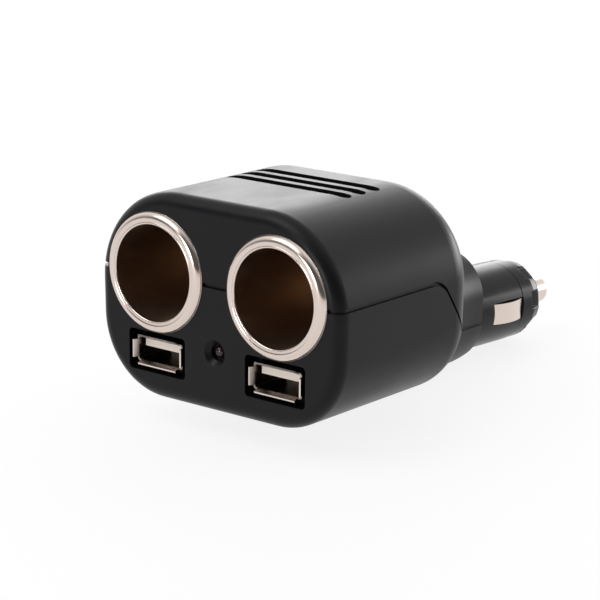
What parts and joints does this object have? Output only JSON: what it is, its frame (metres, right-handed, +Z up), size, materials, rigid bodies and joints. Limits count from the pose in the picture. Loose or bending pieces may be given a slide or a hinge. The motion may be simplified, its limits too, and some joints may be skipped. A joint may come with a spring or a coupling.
{
  "type": "cigarette lighter socket splitter",
  "caption": "Black car power splitter: a rounded box with metal-rimmed lighter sockets and USB ports in front, and a fused plug on a low neck behind.",
  "frame": {"origin": "the point where the plug's axis leaves the end of the neck", "axes": "+Y runs from the sockets' mouths to the plug, +Z is up, +X is to the right seen from the front; the plug droops 2.3 degrees below +Y"},
  "size_m": [0.0678, 0.1274, 0.0522],
  "materials": {
    "housing": "satin black moulded ABS",
    "barrel": "glossy black moulded nylon",
    "nickel": "bright nickel plate on drawn steel",
    "phenolic": "brown phenolic board",
    "brass": "plain brass",
    "gold": "gold flash on spring bronze",
    "tongue": "light grey moulded plastic",
    "lamp": "dark red tinted epoxy",
    "board": "green solder mask",
    "ferrite": "dark ferrite",
    "can": "sleeved aluminium can",
    "chip": "moulded epoxy",
    "screw": "zinc plated steel",
    "spring": "spring steel wire",
    "glass": "clear glass tube",
    "red_lead": "red PVC sleeve",
    "black_lead": "black PVC sleeve"
  },
  "bodies": {
    "housing": {"upper_shell": "housing", "lower_shell": "housing", "socket_sleeve_left": "nickel", "socket_sleeve_right": "nickel", "socket_disc_left": "phenolic", "socket_disc_right": "phenolic", "centre_contact_left": "brass", "centre_contact_right": "brass", "usb_shell_left": "nickel", "usb_shell_right": "nickel", "usb_tongue_left": "tongue", "usb_tongue_right": "tongue", "usb_contacts_left": "gold", "usb_contacts_right": "gold", "indicator_lamp": "lamp", "circuit_board": "board", "board_screws": "screw", "inductor": "ferrite", "capacitor_input": "can", "capacitor_output": "can", "regulator_chip": "chip", "housing_screws": "screw", "plug_barrel": "barrel", "tip_spring": "spring", "spring_terminal": "brass", "earth_clip": "nickel", "live_lead_left": "red_lead", "live_lead_right": "red_lead", "earth_lead_left": "black_lead", "earth_lead_right": "black_lead"},
    "end_cap": {"end_cap": "barrel"},
    "tip": {"tip_contact": "nickel", "fuse_cap_front": "nickel", "fuse_cap_rear": "nickel", "fuse_glass": "glass", "fuse_wire": "spring"},
    "contact_left": {"side_contact_left": "nickel"},
    "contact_right": {"side_contact_right": "nickel"}
  },
  "joints": [
    {"name": "end_cap_unscrew", "type": "slide", "parent": "housing", "child": "end_cap", "axis": [0, 0.9992, -0.0401], "range_m": [0, 0.014]},
    {"name": "tip_press", "type": "slide", "parent": "housing", "child": "tip", "axis": [0, 0.9992, -0.0401], "range_m": [-0.003, 0], "stiffness_N_per_m": 900, "springref_m": 0.002, "deforming": ["tip_spring"]},
    {"name": "contact_left_press", "type": "slide", "parent": "housing", "child": "contact_left", "axis": [1, 0, 0], "range_m": [0, 0.0011], "stiffness_N_per_m": 1500},
    {"name": "contact_right_press", "type": "slide", "parent": "housing", "child": "contact_right", "axis": [1, 0, 0], "range_m": [-0.0011, 0], "stiffness_N_per_m": 1500}
  ]
}
